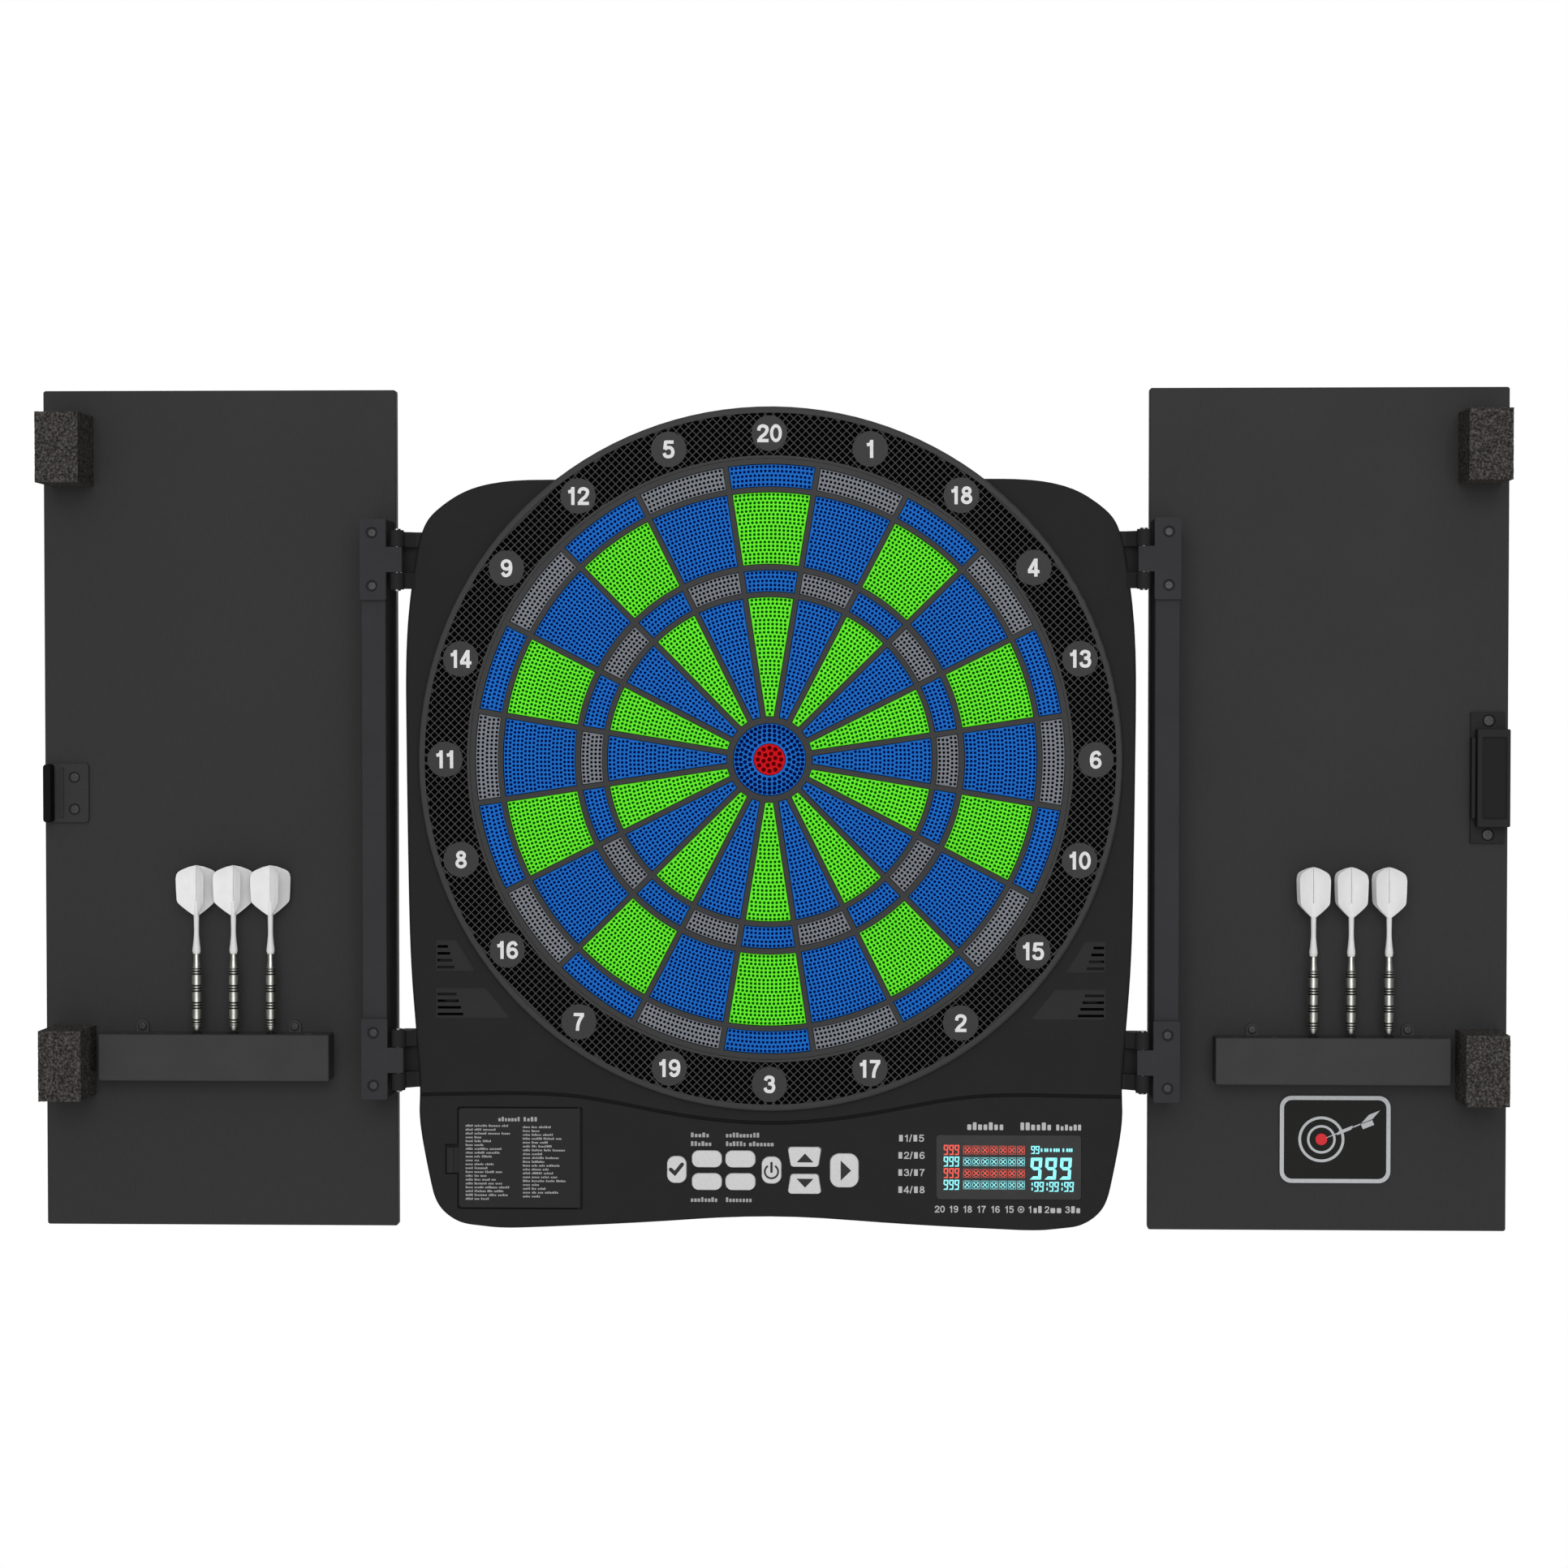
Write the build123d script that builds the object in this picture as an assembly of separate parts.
"""Electronic dartboard with two hinged cabinet doors, both standing fully open.

Millimetres. X to the right, Y back towards the wall, Z up. The origin is on the wall plane y = 0, behind the
bull. Everything in front of the wall has a negative y. Each named sub-part is written to parts/NAME.step.
"""

import os
from math import asin, cos, degrees, radians, sin

from build123d import *

# ---- depths, all along y from the wall plane ----
FRONT = -38.5  # front face of the casing
WALL = 2.5  # wall of the casing's two shells
SPLIT = -20.0  # where the front and back shells meet
RING_FRONT = -42.5  # front of the number ring's rim
RING_FLOOR = -41.4  # sunk floor between the ring's two rims
DISC_FRONT = -42.1  # front of the number discs
SPIDER_FRONT, SPIDER_BACK = -42.3, -32.0
SEGMENT_FRONT, SEGMENT_BACK = -41.2, -30.3
SEGMENT_LIP = 1.4  # length of the flange that keeps a segment behind the spider
DOOR_BACK, DOOR_FACE = -1.5, -10.5  # outer and inner face of an open door's panel
STRAP_FRONT, STRAP_BACK = -50.5, -48.0  # the hinge straps, on top of the door's rail

# ---- target ----
RIM_R, RIM_INNER_R = 204.9, 201.2
SPIDER_R = 174.9
DOUBLE = (158.5, 171.3)
OUTER_SINGLE = (113.6, 155.1)
TRIPLE = (97.7, 109.9)
INNER_SINGLE = (25.1, 94.3)
BULL_R, INNER_BULL_R = 21.0, 9.1
SECTORS = 20
SECTOR_ANGLE = 360 / SECTORS
TARGET_TURN = 0.44  # the target sits in the number ring turned clockwise by this angle
HALF_WEB = 1.7  # from a sector's boundary to the side of its segments
SEGMENT_GAP = 0.3  # between a segment and the spider
LIP = 0.8  # how far a segment's flange stands out
NUMBER_R, DISC_R = 189.3, 10.3

# ---- casing ----
TOP = 163.0
MIDDLE_Z, HALF_WIDTH, HALF_HEIGHT = -55.6, 212.8, 218.7  # of the body without the circle
BODY_CIRCLE_R = 204.2
WALL_SCREW_X, WALL_SCREW_Z, WALL_SCREW_HOLE_R = 150.0, 125.0, 2.5

# ---- hinges ----
AXIS_X, AXIS_Y = 216.4, -47.0
PIN_R, PIN_HOLE_R = 2.2, 2.26
HINGES = {  # z of the knuckle's centre, of the lowest eye's foot and of the highest eye's top
    "upper": (116.1, 98.8, 133.2),
    "lower": (-175.2, -192.8, -157.6),
}
KNUCKLE_R, KNUCKLE_H = 3.3, 14.6
EYE_R, EYE_GAP, EYE_COLLAR = 4.0, 15.2, 0.8  # the collar is how far an eye stands past its arm
BRACKET_SEAT = 0.05  # between a bracket and the casing's side
STRAP_W, STRAP_H, STRAP_X = 15.5, 47.4, 230.1
STRAP_Z = {"upper": 116.2, "lower": -174.6}
STRAP_SCREW_X, STRAP_SCREW_DZ = 230.6, 15.4

# ---- doors ----
DOOR_NEAR, DOOR_FAR = 222.2, 432.2  # hinge edge and free edge, as |x|
DOOR_LOW, DOOR_HIGH = -278.0, 217.7
RAIL_W, RAIL_LOW, RAIL_HIGH = 14.3, -198.3, 139.9
PAD_SIZE = (25.4, 40.0, 41.4)  # width, depth and height of a foam bumper
PAD_X, PAD_ZS = 414.9, (181.8, -179.5)
HOLDER_X, HOLDER_W, HOLDER_DEPTH = 328.6, 136.8, 19.0
HOLDER_LOW, HOLDER_HIGH = -190.1, -162.7
DART_SLOTS = (-55.0, -33.0, -11.0, 11.0, 33.0, 55.0)
DART_HOLE_R, DART_Y = 3.2, -22.7
HOLDER_EAR_DX, HOLDER_SCREW_Z = 45.5, -159.2

# ---- control panel ----
TRAVEL_CLEARANCE = 0.35  # between a button and its hole
BUTTON_FRONT, BUTTON_BACK = -40.3, -34.4
BUTTONS = {  # centre x, centre z
    "button_check": (-54.3, -239.7),
    "button_upper_left": (-36.7, -233.4),
    "button_upper_middle": (-17.1, -233.4),
    "button_lower_left": (-36.7, -246.7),
    "button_lower_middle": (-17.1, -246.7),
    "button_power": (1.1, -239.8),
    "button_up": (20.4, -232.0),
    "button_down": (20.4, -247.8),
    "button_next": (43.6, -239.8),
}
WINDOW = (139.4, -237.8, 84.6, 38.1)  # centre x, centre z, width, height
FLAP_LEFT, FLAP_RIGHT, FLAP_LOW, FLAP_HIGH = -182.2, -110.4, -262.6, -204.4
FLAP_AXIS_X, FLAP_AXIS_Y, FLAP_KNUCKLE_R = -111.9, -37.3, 1.15
FLAP_PIN_R, FLAP_PIN_HOLE_R, FLAP_PIN_L = 0.7, 0.75, 1.5
FLAP_RECESS = -35.8
BATTERY_R, BATTERY_L = 7.1, 50.5
BATTERY_X, BATTERY_Y, BATTERY_Z = -146.3, -27.6, -233.5
SPEAKER_X, SPEAKER_Z, SPEAKER_R = 187.0, -129.0, 13.0


def forward(sketch, back, front):
    """Extrudes a sketch drawn in x and z from y = back out to y = front."""
    return extrude(Plane.XZ.offset(-back) * sketch, amount=back - front)


def block(x0, x1, y0, y1, z0, z1):
    """A box between two corners, given in any order along each axis."""
    size = (abs(x1 - x0), abs(y1 - y0), abs(z1 - z0))
    return Pos((x0 + x1) / 2, (y0 + y1) / 2, (z0 + z1) / 2) * Box(*size)


def upright_rod(x, y, z0, z1, radius):
    """A cylinder along z."""
    return Pos(x, y, (z0 + z1) / 2) * Cylinder(radius, abs(z1 - z0))


def disc(x, z, back, front, radius):
    """A cylinder along y."""
    return forward(Pos(x, z) * Circle(radius), back, front)


def flip(part, side):
    """The part itself on the right, at side 1, or its mirror image on the left, at side -1."""
    return part if side > 0 else mirror(part, about=Plane.YZ)


def group(parts):
    """Separate solids that share one node."""
    return Compound(children=[solid for part in parts for solid in part.solids()])


def rounded_plate(width, height, corner, x, z, back, front, edge):
    """A flat plate with rounded corners, and its front rim rounded by edge."""
    plate = forward(Pos(x, z) * RectangleRounded(width, height, corner), back, front)
    return fillet(plate.faces().sort_by(Axis.Y)[0].edges(), edge)


def screw(x, z, seat, head_r, head_h, shank_r, length):
    """A cross-head screw driven along +y, with the underside of its head at y = seat."""
    head = disc(x, z, seat, seat - head_h, head_r)
    head = fillet(head.faces().sort_by(Axis.Y)[0].edges(), head_h * 0.4)
    body = head + disc(x, z, seat + length, seat, shank_r)
    slot_w, slot_l, slot_depth = head_r * 0.3, head_r * 1.3, head_h * 0.5
    top = seat - head_h
    for w, h in ((slot_w, slot_l), (slot_l, slot_w)):
        body -= block(x - w / 2, x + w / 2, top, top + slot_depth, z - h / 2, z + h / 2)
    return body


# ---- target ----
def sector_cell(radii, shrink):
    """One segment's outline at the top of the board, shrunk all round, with sides parallel to its webs."""
    low, high = radii[0] + shrink, radii[1] - shrink
    side = HALF_WEB + shrink

    def at(radius, turn):
        return (radius * sin(radians(turn)), radius * cos(radians(turn)))

    def reach(radius):
        return SECTOR_ANGLE / 2 - degrees(asin(side / radius))

    a, b = reach(low), reach(high)
    outline = [
        ThreePointArc(at(high, -b), at(high, 0), at(high, b)),
        Line(at(high, b), at(low, a)),
        ThreePointArc(at(low, a), at(low, 0), at(low, -a)),
        Line(at(low, -a), at(high, -b)),
    ]
    return make_face(outline)


def round_the_board(part, start, step, turn=TARGET_TURN):
    """Copies of a part in every step-th sector, counted clockwise from the top."""
    return [Rot(0, k * SECTOR_ANGLE + turn, 0) * part for k in range(start, SECTORS, step)]


def segments(radii, start):
    """Ten segments of one ring and colour: each a block with a flange behind the spider."""
    one = forward(sector_cell(radii, 0), SEGMENT_BACK, SEGMENT_FRONT)
    one += forward(sector_cell(radii, -LIP), SEGMENT_BACK, SEGMENT_BACK - SEGMENT_LIP)
    return group(round_the_board(one, start, 2))


def bull_outer():
    hole_r = INNER_BULL_R + SEGMENT_GAP
    ring = disc(0, 0, SEGMENT_BACK, SEGMENT_FRONT, BULL_R)
    ring += disc(0, 0, SEGMENT_BACK, SEGMENT_BACK - SEGMENT_LIP, BULL_R + LIP)
    return ring - disc(0, 0, SEGMENT_BACK, SEGMENT_FRONT, hole_r)


def bull_inner():
    return disc(0, 0, SEGMENT_BACK, SEGMENT_FRONT, INNER_BULL_R)


def target_spider():
    plate = disc(0, 0, SPIDER_BACK, SPIDER_FRONT, SPIDER_R - 0.2)
    cells = []
    for radii in (DOUBLE, OUTER_SINGLE, TRIPLE, INNER_SINGLE):
        cell = forward(sector_cell(radii, -SEGMENT_GAP), SPIDER_BACK, SPIDER_FRONT)
        cells += round_the_board(cell, 0, 1)
    cells.append(disc(0, 0, SPIDER_BACK, SPIDER_FRONT, BULL_R + SEGMENT_GAP))
    return plate - cells


def number_ring():
    """The catch ring: two raised rims, a sunk floor with 20 number discs, and a collar round the spider."""
    border_r, collar_r, collar_back = SPIDER_R + 1.6, SPIDER_R + 2.0, -33.0
    ring = disc(0, 0, FRONT, RING_FRONT, RIM_R)
    ring = fillet(ring.faces().sort_by(Axis.Y)[0].edges(), 1.2)
    floor = Circle(RIM_INNER_R) - Circle(border_r)
    ring -= forward(floor, RING_FLOOR, RING_FRONT)
    ring += disc(0, 0, collar_back, FRONT, collar_r)
    ring -= disc(0, 0, collar_back, RING_FRONT, SPIDER_R)
    return ring + round_the_board(disc(0, NUMBER_R, RING_FLOOR, DISC_FRONT, DISC_R), 0, 1, turn=0)


# ---- casing ----
def casing_outline(inset=0.0):
    """The casing seen from the front: a full-width body with a waved foot, joined to the target's circle.

    An inset outline is the same one scaled about the body's middle, so the wall is even to a few tenths.
    """
    across, up = 1 - inset / HALF_WIDTH, 1 - inset / HALF_HEIGHT

    def at(x, z):
        return (x * across, MIDDLE_Z + (z - MIDDLE_Z) * up)

    crown, shoulder, hip, foot = at(-128.0, TOP), at(-202.0, 135.3), at(-199.7, -244.3), at(-165.3, -274.1)
    left = [
        Line(at(0, TOP), crown),
        Spline(crown, at(-155.0, 161.9), at(-178.5, 155.9), at(-192.7, 146.8), shoulder,
               tangents=[(-1, 0), (-0.42, -1)]),
        Spline(shoulder, at(-206.9, 116.0), at(-211.1, 85.0), at(-212.7, 20.0), at(-211.5, -75.0),
               at(-209.4, -133.0), at(-205.2, -195.0), hip, tangents=[(-0.42, -1), (0.21, -1)]),
        Spline(hip, at(-193.2, -263.0), at(-183.6, -270.6), foot, tangents=[(0.21, -1), (1, -0.12)]),
        Spline(foot, at(-137.0, -274.3), at(-60.8, -270.3), at(0, -267.4), tangents=[(1, -0.12), (1, 0)]),
    ]
    right = [mirror(edge, about=Plane.YZ) for edge in left]
    return make_face(left + right) + Circle(BODY_CIRCLE_R - inset)


def hinge_brackets():
    """A fork for each hinge: two eyes on arms, and a web behind the strap's knuckle."""
    casing = forward(casing_outline(-BRACKET_SEAT), SPLIT, FRONT)
    inner_x = 200.0  # inside the casing, so that each arm is cut to the casing's own curve
    eye = Pos(AXIS_X, AXIS_Y) * Circle(EYE_R)
    arm = make_face(Polyline(
        (AXIS_X + EYE_R, AXIS_Y), (AXIS_X + EYE_R, -38.0), (AXIS_X - 2.0, -30.0), (inner_x, -30.0),
        (inner_x, -37.5), (206.6, -38.3), (AXIS_X - EYE_R, -43.2), (AXIS_X - EYE_R, AXIS_Y), close=True,
    ))
    web = make_face(Polyline(
        (inner_x, -34.5), (215.5, -34.5), (215.5, -31.5), (213.5, -30.0), (inner_x, -30.0), close=True,
    ))
    forks = []
    for knuckle_z, low, high in HINGES.values():
        slot_low, slot_high = knuckle_z - EYE_GAP / 2, knuckle_z + EYE_GAP / 2
        fork = extrude(Plane.XY.offset(slot_low - 1) * web, amount=EYE_GAP + 2)
        for z0, z1 in ((low + EYE_COLLAR, slot_low), (slot_high, high - EYE_COLLAR)):
            fork += extrude(Plane.XY.offset(z0) * arm, amount=z1 - z0)
        for z0, z1 in ((low, slot_low), (slot_high, high)):
            fork += extrude(Plane.XY.offset(z0) * eye, amount=z1 - z0)
        fork -= casing
        forks.append(fork - upright_rod(AXIS_X, AXIS_Y, low - 1, high + 1, PIN_HOLE_R))
    return group([flip(fork, side) for side in (1, -1) for fork in forks])


VENTS = {  # top z, bottom z, then the slanted side's x at the top and at the bottom
    "upper": (-105.7, -124.2, -183.7, -172.2),
    "lower": (-133.6, -151.7, -166.3, -151.7),
}
VENT_OUTER_X, VENT_SLOT_H, VENT_SLOTS = -195.6, 1.6, 4
# Inboard end of the first and of the last slot.
VENT_SLOT_TIP = {"upper": (-188.4, -184.6), "lower": (-183.5, -179.5)}


def vent_cuts(side):
    """Shallow patches with four slots each, over the speaker."""
    cuts = []
    for name, (top, bottom, x_top, x_bottom) in VENTS.items():
        corners = ((VENT_OUTER_X, top), (x_top, top), (x_bottom, bottom), (VENT_OUTER_X, bottom))
        patch = Polyline(*corners, close=True)
        cuts.append(forward(make_face(patch), FRONT + 0.5, FRONT - 1))
        pitch = (top - bottom - 6.4) / (VENT_SLOTS - 1)
        first, last = VENT_SLOT_TIP[name]
        for k in range(VENT_SLOTS):
            z = top - 3.9 - k * pitch
            tip = first + (last - first) * k / (VENT_SLOTS - 1)
            half = VENT_SLOT_H / 2
            cuts.append(block(VENT_OUTER_X + 1, tip, FRONT - 1, FRONT + WALL + 1, z - half, z + half))
    return [flip(cut, -side) for cut in cuts]


def step_groove():
    """The shallow groove between the casing's main field and its control panel."""
    half = ((207.5, -196.4), (163.4, -195.6), (115.3, -196.9), (61, -206.4))
    line = Spline(*[(-x, z) for x, z in half], (0, -212.3), *half[::-1])
    return forward(trace(line, 2.2), FRONT + 0.9, FRONT - 0.2)


def button_outline(name, grow=0.0):
    """The face of one button, grown all round by grow, about its own centre."""
    if name in ("button_up", "button_down"):
        sign = 1 if name == "button_up" else -1
        wide, narrow, half = 9.9 + grow, 8.0 + grow, 5.8 + grow
        top, foot = sign * half, -sign * half
        corners = ((-wide, top), (wide, top), (narrow, foot), (-narrow, foot))
        face = make_face(Polyline(*corners, close=True))
        return fillet(face.vertices(), 2.0)
    width, height, corner = {
        "button_check": (11.3, 15.7, 4.6),
        "button_power": (11.4, 15.7, 4.6),
        "button_next": (16.6, 19.8, 5.5),
    }.get(name, (17.5, 9.8, 4.0))
    return RectangleRounded(width + 2 * grow, height + 2 * grow, corner + grow)


def button(name):
    """A cap that stands out of the panel, with a flange behind it."""
    x, z = BUTTONS[name]
    cap = forward(Pos(x, z) * button_outline(name), BUTTON_BACK, BUTTON_FRONT)
    cap = fillet(cap.faces().sort_by(Axis.Y)[0].edges(), 0.7)
    flange_front = FRONT + WALL + 0.3
    return cap + forward(Pos(x, z) * button_outline(name, 0.8), flange_front + 1.0, flange_front)


SHELL_SCREW_PLACES = ((120, 146), (192, 62), (196, -60), (192, -182), (98, -206))
SHELL_SCREWS = [(side * x, z) for side in (1, -1) for x, z in SHELL_SCREW_PLACES]
BOSS_R, SCREW_R, SCREW_HEAD_R = 4.0, 1.5, 3.0


def front_shell():
    shell = forward(casing_outline(), SPLIT, FRONT)
    shell = fillet(shell.faces().sort_by(Axis.Y)[0].edges(), 1.6)
    cavity = forward(casing_outline(WALL), SPLIT, FRONT + WALL)
    bosses = [disc(x, z, SPLIT, FRONT + 1, BOSS_R) for x, z in SHELL_SCREWS]
    ledge_x0, ledge_x1 = FLAP_LEFT - 8.5, FLAP_RIGHT + 3
    ledge = block(ledge_x0, ledge_x1, -32.6, FRONT + 1, FLAP_LOW - 3, FLAP_HIGH + 3)
    shell = shell - cavity + bosses + (ledge & forward(casing_outline(1.0), SPLIT, FRONT))
    shell -= disc(0, 0, SPLIT, FRONT, SPIDER_R + 2.2)
    cuts = [disc(x, z, SPLIT, FRONT + WALL + 1, SCREW_R + 0.1) for x, z in SHELL_SCREWS]
    for side in (1, -1):
        cuts += vent_cuts(side)
    for name, (x, z) in BUTTONS.items():
        cuts.append(forward(Pos(x, z) * button_outline(name, TRAVEL_CLEARANCE), FRONT + WALL, FRONT))
    x, z, w, h = WINDOW
    cuts.append(forward(Pos(x, z) * RectangleRounded(w, h, 2.0), FRONT + WALL, FRONT))
    cuts += [step_groove(), *flap_recess()]
    return shell - cuts


def flap_recess():
    """Room for the flap, its latch tab and its two pins, and the way through to the batteries."""
    gap = 1.0
    middle_x, middle_z = (FLAP_LEFT + FLAP_RIGHT) / 2, (FLAP_LOW + FLAP_HIGH) / 2
    width, height = FLAP_RIGHT - FLAP_LEFT, FLAP_HIGH - FLAP_LOW
    field = RectangleRounded(width + 2 * gap, height + 2 * gap, 1.6)
    pin_reach = FLAP_PIN_L + 0.3
    return [
        forward(Pos(middle_x, middle_z) * field, FLAP_RECESS, FRONT),
        block(FLAP_LEFT - 8.0, FLAP_LEFT + 1, FLAP_RECESS, FRONT, -243.2, -225.4),
        upright_rod(FLAP_AXIS_X, FLAP_AXIS_Y, FLAP_LOW - pin_reach, FLAP_HIGH + pin_reach, FLAP_PIN_HOLE_R),
        block(BATTERY_X - 28.5, BATTERY_X + 28.5, SPLIT, FRONT, BATTERY_Z - 22.8, BATTERY_Z + 22.8),
    ]


def game_list_flap():
    """The battery cover, which carries the game list: a plate on a pinned knuckle, with a latch tab."""
    middle_z = (FLAP_LOW + FLAP_HIGH) / 2
    height = FLAP_HIGH - FLAP_LOW
    width = FLAP_AXIS_X - FLAP_LEFT
    plate = forward(Pos(FLAP_LEFT + width / 2, middle_z) * Rectangle(width, height), FRONT + 1.8, FRONT)
    corners = plate.edges().filter_by(Axis.Y).group_by(Axis.X)[0]
    plate = fillet(corners, 2.0)
    knuckle = upright_rod(FLAP_AXIS_X, FLAP_AXIS_Y, FLAP_LOW, FLAP_HIGH, FLAP_KNUCKLE_R)
    pins = upright_rod(FLAP_AXIS_X, FLAP_AXIS_Y, FLAP_LOW - FLAP_PIN_L, FLAP_HIGH + FLAP_PIN_L, FLAP_PIN_R)
    tab = block(FLAP_LEFT - 7.2, FLAP_LEFT + 1, FRONT + 1.9, FRONT + 1.2, -242.4, -227.6)
    tab += block(FLAP_LEFT - 7.2, FLAP_LEFT - 3.4, FRONT + 1.9, FRONT + 0.2, -242.4, -227.6)
    return plate + knuckle + pins + tab


def back_shell():
    shell = forward(casing_outline(), 0, SPLIT)
    shell = fillet(shell.faces().sort_by(Axis.Y)[-1].edges(), 1.6)
    shell -= forward(casing_outline(WALL), -WALL, SPLIT)
    support = forward(Circle(122) - Circle(120), 0, -22.6) + forward(Circle(60) - Circle(58), 0, -22.6)
    support += [Rot(0, 45 * k, 0) * block(-1, 1, 0, -22.6, 59, 168) for k in range(8)]
    support -= disc(0, 0, 0, -WALL, 170)
    shell += support
    shell += [disc(x, z, -WALL, SPLIT, BOSS_R) for x, z in SHELL_SCREWS]
    shell -= [disc(x, z, 0, SPLIT, SCREW_R + 0.1) for x, z in SHELL_SCREWS]
    shell -= [disc(x, z, 0, -2.2, SCREW_HEAD_R + 0.3) for x, z in SHELL_SCREWS]
    shell -= [disc(x, z, 0, SPLIT, WALL_SCREW_HOLE_R) for x, z in wall_screw_places()]
    shell -= upright_rod(JACK_X, JACK_Y, -280, -258, JACK_HOLE_R + 0.35)
    for side in (1, -1):
        grille = [block(x, x + 2, 0, -WALL, -112, -84) for x in range(150, 181, 5)]
        shell -= [flip(slot, side) for slot in grille]
    return shell


def wall_screw_places():
    return [(sx * WALL_SCREW_X, sz * WALL_SCREW_Z) for sx in (1, -1) for sz in (1, -1)]


def shell_screws():
    """Ten screws that hold the back shell to the front shell, heads sunk in the back."""
    found = []
    for x, z in SHELL_SCREWS:
        shaft = disc(x, z, -2.2, -32.0, SCREW_R)
        head = disc(x, z, -0.2, -2.2, SCREW_HEAD_R)
        cross = block(x - 0.45, x + 0.45, -0.2, -1.2, z - 2, z + 2)
        cross += block(x - 2, x + 2, -0.2, -1.2, z - 0.45, z + 0.45)
        found.append(shaft + head - cross)
    return group(found)


# ---- inside the casing ----
def sensor_membrane():
    tail = block(-14, 14, -29.4, -28.8, -206, -165)
    return disc(0, 0, -28.8, -29.4, 174.0) + tail


def main_circuit_board():
    board = block(-100, 184, -31.3, -29.7, -256, -212)
    chips = [block(x, x + 14, -29.7, -27.4, -244, -230) for x in (-60, -20, 40, 90)]
    connector = block(-15, 15, -29.7, -25.0, -222, -214)
    return board + chips + connector


def lcd_module():
    x, z, w, h = WINDOW
    return block(x - w / 2 - 2, x + w / 2 + 2, -35.9, -31.5, z - h / 2 - 3, z + h / 2 + 3)


def lcd_window():
    x, z, w, h = WINDOW
    return forward(Pos(x, z) * RectangleRounded(w - 0.4, h - 0.4, 1.8), -36.3, -38.1)


def button_mat():
    """One sheet of rubber with a dome under each button."""
    sheet = block(-66, 58, -31.5, -32.4, -259, -221)
    return sheet + [disc(x, z, -32.0, -32.9, 3.0) for x, z in BUTTONS.values()]


def speakers():
    found = []
    for side in (1, -1):
        x = side * SPEAKER_X
        cone = disc(x, SPEAKER_Z, -29.0, -35.8, SPEAKER_R)
        found.append(cone + disc(x, SPEAKER_Z, -23.5, -29.0, 7.0))
    return group(found)


def battery_places():
    return [BATTERY_Z + k * 2 * (BATTERY_R + 0.2) for k in (-1, 0, 1)]


def batteries():
    turned = Rot(0, 90, 0)
    found = []
    for z in battery_places():
        cell = Cylinder(BATTERY_R, BATTERY_L - 1) + Pos(0, 0, BATTERY_L / 2 - 0.1) * Cylinder(2.7, 1.2)
        found.append(Pos(BATTERY_X, BATTERY_Y, z) * turned * cell)
    return group(found)


def battery_contacts():
    """A sprung contact and a flat contact at the two ends of each battery."""
    found = []
    for z in battery_places():
        for side in (1, -1):
            x0, x1 = BATTERY_X + side * (BATTERY_L / 2 + 1.2), BATTERY_X + side * 28.4
            found.append(block(x0, x1, BATTERY_Y - 4, BATTERY_Y + 4, z - 4, z + 4))
    return group(found)


JACK_X, JACK_Y, JACK_LOW, JACK_HOLE_R = 118.0, -10.5, -270.8, 3.25


def battery_box_and_jack():
    """The open tray for the batteries, and the socket for a mains adapter, which opens through the foot."""
    tray = block(BATTERY_X - 30, BATTERY_X + 30, -18.6, -32.6, BATTERY_Z - 24, BATTERY_Z + 24)
    tray -= block(BATTERY_X - 28.5, BATTERY_X + 28.5, -20.1, -32.6, BATTERY_Z - 22.5, BATTERY_Z + 22.5)
    jack = block(JACK_X - 6, JACK_X + 6, JACK_Y - 6, JACK_Y + 6, JACK_LOW, JACK_LOW + 16)
    jack -= upright_rod(JACK_X, JACK_Y, JACK_LOW, JACK_LOW + 13, JACK_HOLE_R)
    return group([tray, jack])


def hinge_pins():
    stand_out = 0.8
    pins = []
    for side in (1, -1):
        for _, low, high in HINGES.values():
            pins.append(upright_rod(side * AXIS_X, AXIS_Y, low - stand_out, high + stand_out, PIN_R))
    return group(pins)


# ---- doors ----
def door_panel():
    width, height = DOOR_FAR - DOOR_NEAR, DOOR_HIGH - DOOR_LOW
    x, z = (DOOR_FAR + DOOR_NEAR) / 2, (DOOR_HIGH + DOOR_LOW) / 2
    panel = rounded_plate(width, height, 1.5, x, z, DOOR_BACK, DOOR_FACE, 0.7)
    panel = fillet(panel.faces().sort_by(Axis.Y)[-1].edges(), 0.7)
    return panel, screw_holes(panel_screw_places())


DOOR_SCREW_R = 1.3
STRIKE_SCREWS = ((414.2, -11.4), (414.2, -30.4))
MAGNET_SCREWS = ((420.6, 22.4), (420.2, -44.4))


def panel_screw_places():
    """Screws that both doors have in their panel: the two ears of the dart holder."""
    return [(HOLDER_X + dx, HOLDER_SCREW_Z) for dx in (-HOLDER_EAR_DX, HOLDER_EAR_DX)]


def screw_holes(places, face=DOOR_FACE, depth=6.0):
    return [disc(x, z, face + depth, face, DOOR_SCREW_R + 0.05) for x, z in places]


def side_panel(side):
    panel, holes = door_panel()
    own = MAGNET_SCREWS if side > 0 else STRIKE_SCREWS
    return flip(panel - holes - screw_holes(own), side)


def strap_screw_places():
    return [(STRAP_SCREW_X, z + dz) for z in STRAP_Z.values() for dz in (-STRAP_SCREW_DZ, STRAP_SCREW_DZ)]


def hinge_rail(side):
    """The rail that carries the hinge straps at the height of the pins."""
    height = RAIL_HIGH - RAIL_LOW
    z = (RAIL_HIGH + RAIL_LOW) / 2
    rail = rounded_plate(RAIL_W, height, 1.0, STRAP_X, z, DOOR_FACE, STRAP_BACK, 0.8)
    return flip(rail - screw_holes(strap_screw_places(), STRAP_BACK, 12.0), side)


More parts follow.
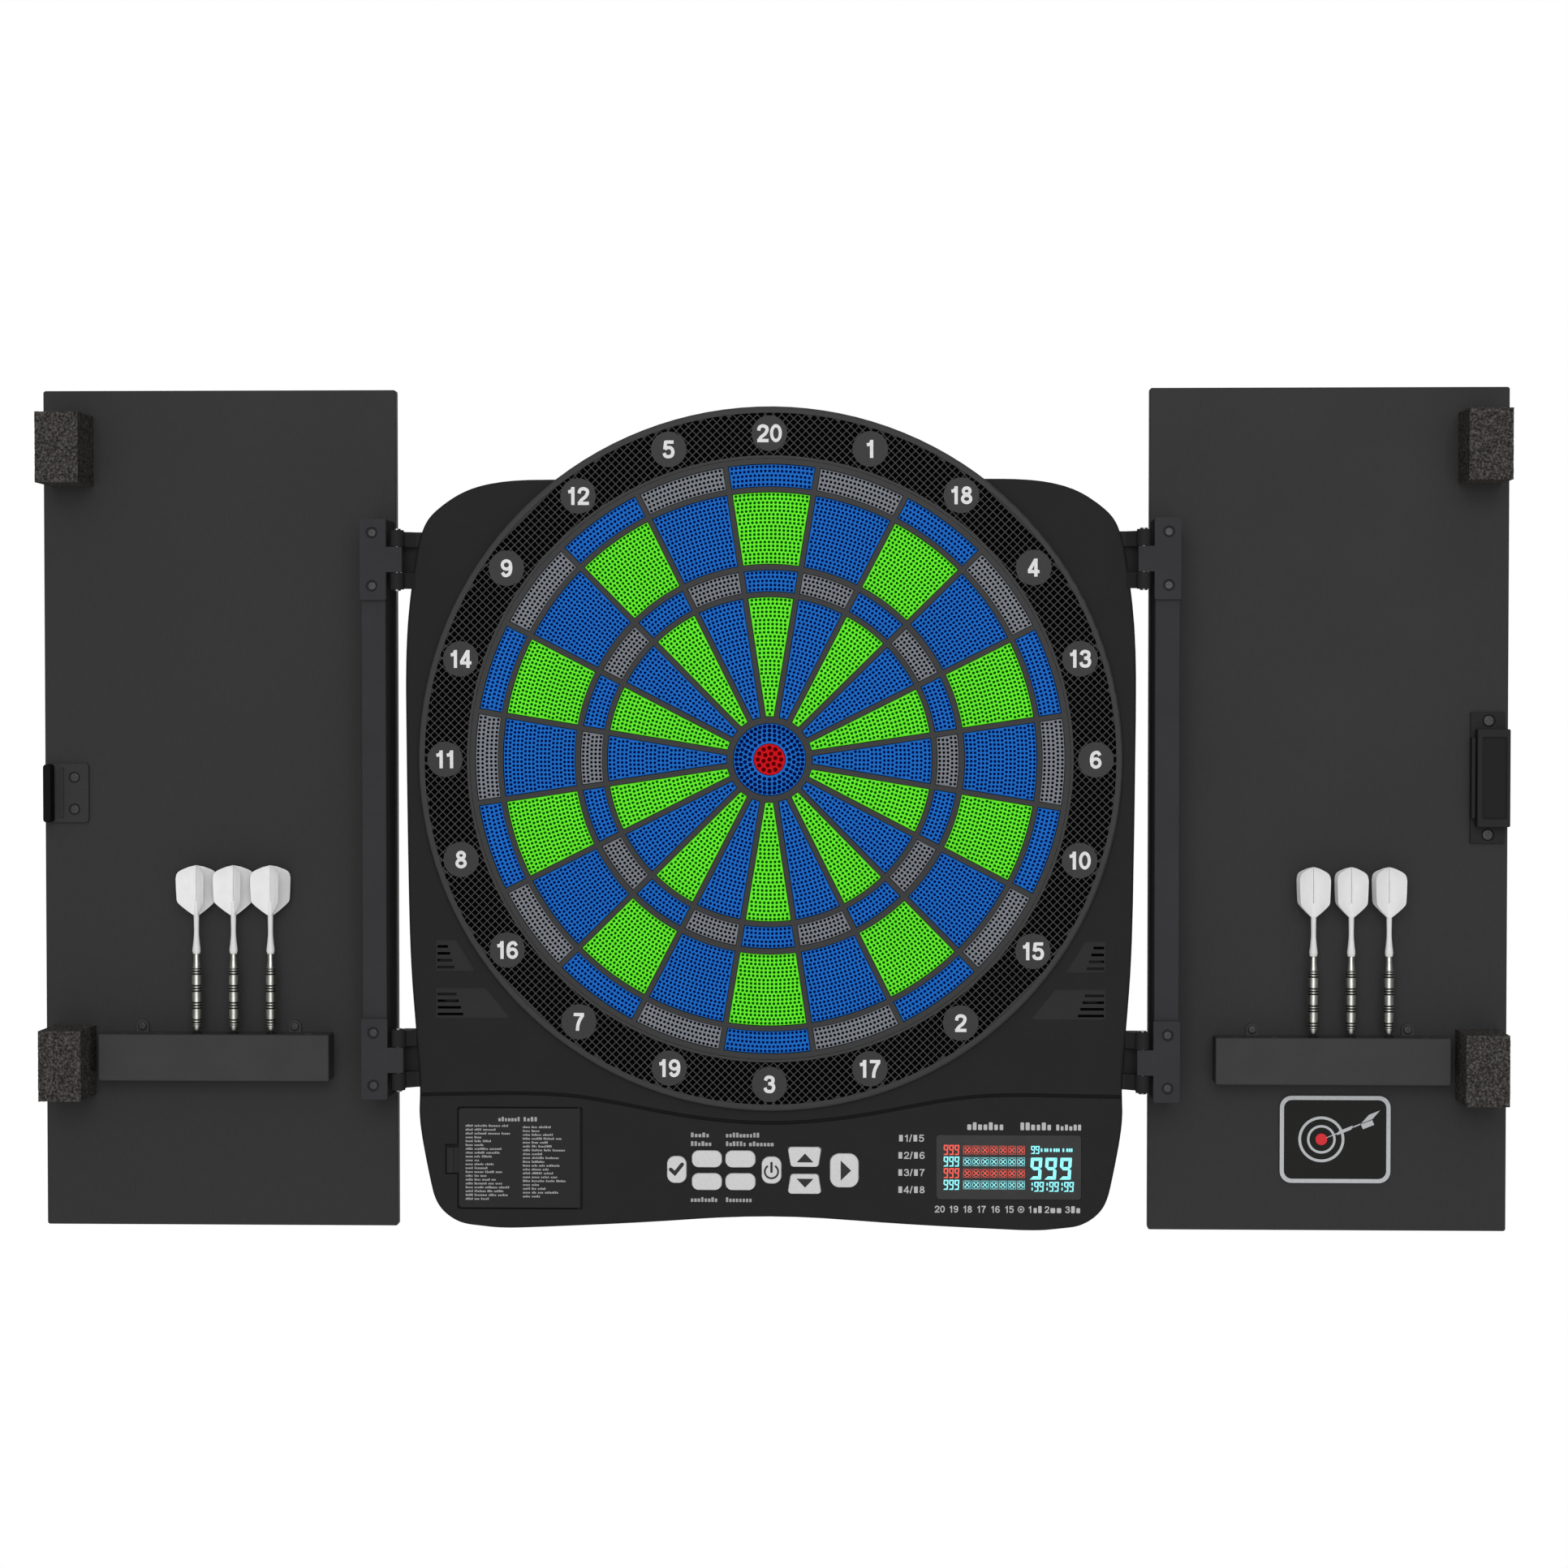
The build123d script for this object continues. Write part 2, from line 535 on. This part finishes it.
def hinge_straps(side):
    """Two straps, each a screwed plate with a tongue that ends in a knuckle round the hinge pin."""
    straps = []
    for name, z in STRAP_Z.items():
        knuckle_z = HINGES[name][0]
        plate = rounded_plate(STRAP_W, STRAP_H, 1.2, STRAP_X, z, STRAP_BACK, STRAP_FRONT, 0.5)
        half = KNUCKLE_H / 2
        tongue = block(AXIS_X, STRAP_X - 5, STRAP_BACK, STRAP_FRONT, knuckle_z - half, knuckle_z + half)
        knuckle = upright_rod(AXIS_X, AXIS_Y, knuckle_z - half, knuckle_z + half, KNUCKLE_R)
        low, high = knuckle_z - half, knuckle_z + half
        brow = block(AXIS_X - KNUCKLE_R, AXIS_X, AXIS_Y, STRAP_FRONT, low, high)
        strap = plate + tongue + knuckle + fillet(brow.edges().filter_by(Axis.Z).group_by(Axis.X)[0], 0.5)
        strap -= upright_rod(AXIS_X, AXIS_Y, knuckle_z - half, knuckle_z + half, PIN_HOLE_R)
        straps.append(strap)
    wells = [disc(x, z, STRAP_BACK - 0.9, STRAP_FRONT, 3.5) for x, z in strap_screw_places()]
    holes = [disc(x, z, STRAP_BACK, STRAP_FRONT, 1.4) for x, z in strap_screw_places()]
    return group([flip(strap - wells - holes, side) for strap in straps])


def foam_pads(side):
    """Two foam bumpers near the door's free edge."""
    width, depth, height = PAD_SIZE
    x0, x1 = PAD_X - width / 2, PAD_X + width / 2
    pads = [block(x0, x1, DOOR_FACE, DOOR_FACE - depth, z - height / 2, z + height / 2) for z in PAD_ZS]
    return group([flip(pad, side) for pad in pads])


def dart_holder(side):
    """A ribbed moulding with six upright dart holes and two screw ears on its top edge."""
    width, height = HOLDER_W, HOLDER_HIGH - HOLDER_LOW
    middle = (HOLDER_HIGH + HOLDER_LOW) / 2
    front = DOOR_FACE - HOLDER_DEPTH
    body = rounded_plate(width, height, 1.2, HOLDER_X, middle, DOOR_FACE, front, 1.0)
    ends = (-HOLDER_W / 2, *DART_SLOTS, HOLDER_W / 2)
    for a, b in zip(ends[:-1], ends[1:], strict=True):
        margin_a = 2.0 if a == ends[0] else 5.0
        margin_b = 2.0 if b == ends[-1] else 5.0
        x0, x1 = HOLDER_X + a + margin_a, HOLDER_X + b - margin_b
        body -= block(x0, x1, DOOR_FACE, front + 2.0, HOLDER_LOW + 2, HOLDER_HIGH - 2)
    for dx in (-HOLDER_EAR_DX, HOLDER_EAR_DX):
        ear = Pos(HOLDER_X + dx, HOLDER_SCREW_Z) * Circle(3.7)
        ear += Pos(HOLDER_X + dx, HOLDER_SCREW_Z - 2.6) * Rectangle(7.4, 5.2)
        body += forward(ear, DOOR_FACE, DOOR_FACE - 2.0)
        body -= disc(HOLDER_X + dx, HOLDER_SCREW_Z, DOOR_FACE, DOOR_FACE - 2.0, 1.6)
    for dx in DART_SLOTS:
        body -= upright_rod(HOLDER_X + dx, DART_Y, HOLDER_LOW + 1.6, HOLDER_HIGH, DART_HOLE_R)
    return flip(body, side)


def strap_screws():
    return [screw(x, z, STRAP_BACK - 0.9, 2.4, 1.2, DOOR_SCREW_R, 11.0) for x, z in strap_screw_places()]


def door_screws(side):
    """Every screw on one door: straps, dart holder, and the strike plate or the magnetic catch."""
    found = strap_screws()
    found += [screw(x, z, DOOR_FACE - 2.0, 2.4, 1.5, DOOR_SCREW_R, 7.0) for x, z in panel_screw_places()]
    if side > 0:
        found += [screw(x, z, DOOR_FACE - 0.8, 3.2, 1.5, DOOR_SCREW_R, 6.5) for x, z in MAGNET_SCREWS]
    else:
        found += [screw(x, z, DOOR_FACE - 0.8, 2.7, 1.3, DOOR_SCREW_R, 6.5) for x, z in STRIKE_SCREWS]
    return group([flip(one, side) for one in found])


STRIKE_T, STRIKE_LOW, STRIKE_HIGH = 2.2, -38.3, -3.1


def strike_plate():
    """The strike on the left door: a screwed base with a groove, and a lip standing at the free edge."""
    z, height = (STRIKE_LOW + STRIKE_HIGH) / 2, STRIKE_HIGH - STRIKE_LOW
    top = DOOR_FACE - STRIKE_T
    base = rounded_plate(25.0, height, 2.4, 418.2, z, DOOR_FACE, top, 0.4)
    base -= upright_rod(421.7, top - 0.7, STRIKE_LOW + 2.5, STRIKE_HIGH - 2.5, 1.5)
    base += rounded_plate(4.6, height - 0.8, 2.0, 428.4, z, DOOR_FACE, DOOR_FACE - 12.0, 0.6)
    for sx, sz in STRIKE_SCREWS:
        base -= [disc(sx, sz, DOOR_FACE, top, 1.5), disc(sx, sz, DOOR_FACE - 0.8, top, 3.5)]
    return flip(base, -1)


MAGNET_X0, MAGNET_X1 = 412.6, 431.8
MAGNET_LOW, MAGNET_HIGH = -39.6, 17.6


def magnet_housing():
    """The magnetic catch on the right door: a hollow block between two screw tabs, open at its back."""
    tab_t = 2.2
    housing = rounded_plate(20.0, 77.0, 0.8, 420.0, -11.0, DOOR_FACE, DOOR_FACE - tab_t, 0.3)
    width, height = MAGNET_X1 - MAGNET_X0, MAGNET_HIGH - MAGNET_LOW
    x, z = (MAGNET_X0 + MAGNET_X1) / 2, (MAGNET_LOW + MAGNET_HIGH) / 2
    housing += rounded_plate(width, height, 1.0, x, z, DOOR_FACE, DOOR_FACE - 11.5, 0.6)
    housing += block(409.9, 411.9, DOOR_FACE, DOOR_FACE - 8.0, MAGNET_LOW + 5, MAGNET_HIGH - 5)
    housing -= rounded_plate(14.8, 48.6, 1.6, x + 0.3, z, DOOR_FACE - 10.3, DOOR_FACE - 11.5, 0.2)
    housing -= block(x - 7.7, x + 7.7, DOOR_FACE, DOOR_FACE - 8.8, MAGNET_LOW + 2, MAGNET_HIGH - 2)
    for sx, sz in MAGNET_SCREWS:
        housing -= [disc(sx, sz, DOOR_FACE, DOOR_FACE - tab_t, 1.5)]
        housing -= [disc(sx, sz, DOOR_FACE - 0.8, DOOR_FACE - tab_t, 3.8)]
    return housing


def magnets():
    x, z, half = (MAGNET_X0 + MAGNET_X1) / 2, (MAGNET_LOW + MAGNET_HIGH) / 2, 7.4
    lows = (z - 25.5, z + 1.0)
    return group([block(x - half, x + half, DOOR_FACE - 0.4, DOOR_FACE - 8.6, a, a + 24.5) for a in lows])


def badge():
    """A blank shield plate with a raised border."""
    x, z = 332.0, -224.0
    plate = forward(Pos(x, z) * RectangleRounded(65.0, 51.6, 7.0), DOOR_FACE, DOOR_FACE - 1.6)
    return plate - forward(Pos(x, z) * RectangleRounded(60.4, 47.0, 4.8), DOOR_FACE - 1.2, DOOR_FACE - 1.6)


# ---- darts ----
FLIGHT_TOP, SHAFT_TOP, BARREL_TOP, BARREL_LOW = -63.0, -84.0, -115.2, -161.2
TIP_SHOULDER, TIP_LOW = -162.3, -188.2
FLIGHT_OUTLINE = [  # one wing: distance from the axis, and height from FLIGHT_TOP
    (0, 0), (9.1, -2.7), (11.7, -4.4), (12.6, -7.4), (12.0, -21.1), (1.9, -29.6), (0, -29.6),
]
WING_T = 0.5
BARREL_R, GROOVE_R, GROOVE_W = 3.2, 2.7, 0.8
GRIP_BANDS = (-125.6, -135.7, -145.8, -155.9)  # middle of each band of three grooves
# Each dart's slot, and its turn about its own axis in degrees.
LEFT_DARTS = {"left_dart_a": (-11.0, 30), "left_dart_b": (11.0, 29), "left_dart_c": (33.0, 31)}
RIGHT_DARTS = {"right_dart_a": (-11.0, 45), "right_dart_b": (11.0, 44), "right_dart_c": (33.0, 46)}


def turned_profile(points):
    """A solid of revolution about z, from (radius, z) points that start and end on the axis."""
    return revolve(Plane.XZ * make_face(Polyline(*points, close=True)), Axis.Z)


def dart(x, turn):
    """A soft-tip dart, point down: flight, shaft, barrel and tip, each a separate solid."""
    stub_r, stub_l, neck = 1.4, 6.0, 8.0
    tip = turned_profile([
        (0, BARREL_LOW + stub_l), (stub_r, BARREL_LOW + stub_l), (stub_r, TIP_SHOULDER), (2.8, TIP_SHOULDER),
        (2.8, TIP_SHOULDER - 2), (1.5, TIP_SHOULDER - 4), (1.0, TIP_LOW + 3), (0.4, TIP_LOW), (0, TIP_LOW),
    ])
    barrel = turned_profile([
        (0, BARREL_TOP), (2.0, BARREL_TOP), (2.6, BARREL_TOP - neck), (BARREL_R, BARREL_TOP - neck - 0.6),
        (BARREL_R, BARREL_LOW + 3.6), (2.1, BARREL_LOW + 3.2), (2.0, BARREL_LOW + 0.6), (1.6, BARREL_LOW),
        (0, BARREL_LOW),
    ])
    for band in GRIP_BANDS:
        for z in (band - 2 * GROOVE_W, band, band + 2 * GROOVE_W):
            low, high = z - GROOVE_W / 2, z + GROOVE_W / 2
            barrel -= upright_rod(0, 0, low, high, BARREL_R + 1) - upright_rod(0, 0, low, high, GROOVE_R)
    for low, high in ((BARREL_LOW, BARREL_LOW + stub_l), (BARREL_TOP - stub_l, BARREL_TOP)):
        barrel -= upright_rod(0, 0, low, high, stub_r + 0.03)
    shaft = turned_profile([
        (0, SHAFT_TOP), (1.5, SHAFT_TOP), (1.6, SHAFT_TOP - 9), (1.5, BARREL_TOP + 12),
        (2.4, BARREL_TOP + 3), (2.4, BARREL_TOP), (stub_r, BARREL_TOP), (stub_r, BARREL_TOP - stub_l),
        (0, BARREL_TOP - stub_l),
    ])
    half = make_face(Polyline(*[(r, FLIGHT_TOP + dz) for r, dz in FLIGHT_OUTLINE], close=True))
    wing = forward(half + mirror(half, about=Plane.YZ), WING_T / 2, -WING_T / 2)
    flight = wing + Rot(0, 0, 90) * wing
    slot = forward(Pos(0, FLIGHT_TOP - 15) * Rectangle(30, 30), WING_T / 2 + 0.05, -WING_T / 2 - 0.05)
    shaft -= [slot, Rot(0, 0, 90) * slot]
    return group([Pos(x, DART_Y, 0) * Rot(0, 0, turn) * piece for piece in (flight, shaft, barrel, tip)])


def write(name, part):
    export_step(part, os.path.join("parts", name + ".step"))


def main():
    os.makedirs("parts", exist_ok=True)
    made = {
        "back_shell": back_shell(),
        "front_shell": front_shell(),
        "hinge_brackets": hinge_brackets(),
        "number_ring": number_ring(),
        "target_spider": target_spider(),
        "sensor_membrane": sensor_membrane(),
        "backing_pad": disc(0, 0, -25.6, -28.8, 174.0),
        "support_plate": disc(0, 0, -22.6, -25.6, 176.0),
        "main_circuit_board": main_circuit_board(),
        "lcd_module": lcd_module(),
        "lcd_window": lcd_window(),
        "button_mat": button_mat(),
        "speakers": speakers(),
        "battery_box_and_jack": battery_box_and_jack(),
        "battery_contacts": battery_contacts(),
        "batteries": batteries(),
        "shell_screws": shell_screws(),
        "hinge_pins": hinge_pins(),
        "segments_double_blue": segments(DOUBLE, 0),
        "segments_double_grey": segments(DOUBLE, 1),
        "segments_outer_single_green": segments(OUTER_SINGLE, 0),
        "segments_outer_single_blue": segments(OUTER_SINGLE, 1),
        "segments_triple_blue": segments(TRIPLE, 0),
        "segments_triple_grey": segments(TRIPLE, 1),
        "segments_inner_single_green": segments(INNER_SINGLE, 0),
        "segments_inner_single_blue": segments(INNER_SINGLE, 1),
        "bull_outer": bull_outer(),
        "bull_inner": bull_inner(),
        "game_list_flap": game_list_flap(),
        "left_strike_plate": strike_plate(),
        "right_magnet_housing": magnet_housing(),
        "right_magnets": magnets(),
        "right_badge": badge(),
    }
    for name in BUTTONS:
        made[name] = button(name)
    for word, side, darts in (("left", -1, LEFT_DARTS), ("right", 1, RIGHT_DARTS)):
        made[word + "_door_panel"] = side_panel(side)
        made[word + "_hinge_rail"] = hinge_rail(side)
        made[word + "_hinge_straps"] = hinge_straps(side)
        made[word + "_door_screws"] = door_screws(side)
        made[word + "_foam_pads"] = foam_pads(side)
        made[word + "_dart_holder"] = dart_holder(side)
        for name, (slot, turn) in darts.items():
            made[name] = dart(side * HOLDER_X + slot, turn)
    for name, part in made.items():
        write(name, part)


main()
